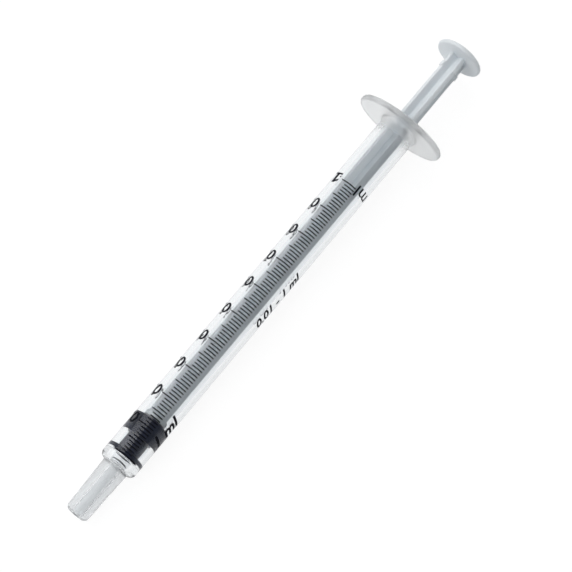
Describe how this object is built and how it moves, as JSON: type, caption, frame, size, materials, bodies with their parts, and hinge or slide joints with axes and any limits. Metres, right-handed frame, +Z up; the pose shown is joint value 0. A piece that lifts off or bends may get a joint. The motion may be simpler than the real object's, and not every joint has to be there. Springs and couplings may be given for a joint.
{
  "type": "luer slip syringe",
  "caption": "Small clear syringe with a plain slip cone, printed millilitre scale, oval finger flange, dark rubber stopper and cross-ribbed plunger rod, fully closed.",
  "frame": {"origin": "on the axis, at the mouth of the nozzle", "axes": "+X along the axis from the nozzle to the thumb rest, +Z up out of the scale, +Y across, along the flange's long side"},
  "size_m": [0.1004, 0.0164, 0.0106],
  "materials": {
    "barrel_plastic": "clear moulded plastic, polished on the tube and finely matt on the nozzle and flange",
    "scale_ink": "printed black ink",
    "stopper_rubber": "smooth dark blue-grey rubber with a thin film of lubricant",
    "rod_plastic": "natural milky plastic, satin as moulded"
  },
  "bodies": {
    "barrel": {"barrel": "barrel_plastic", "scale_print": "scale_ink"},
    "stopper": {"stopper": "stopper_rubber"},
    "rod": {"plunger_rod": "rod_plastic"}
  },
  "joints": [
    {"name": "plunger_slide", "type": "slide", "parent": "barrel", "child": "stopper", "axis": [1, 0, 0], "range_m": [0, 0.0636]},
    {"name": "rod_spin", "type": "hinge", "parent": "stopper", "child": "rod", "pos_m": [0.01915, 0, 0], "axis": [1, 0, 0], "continuous": true}
  ]
}
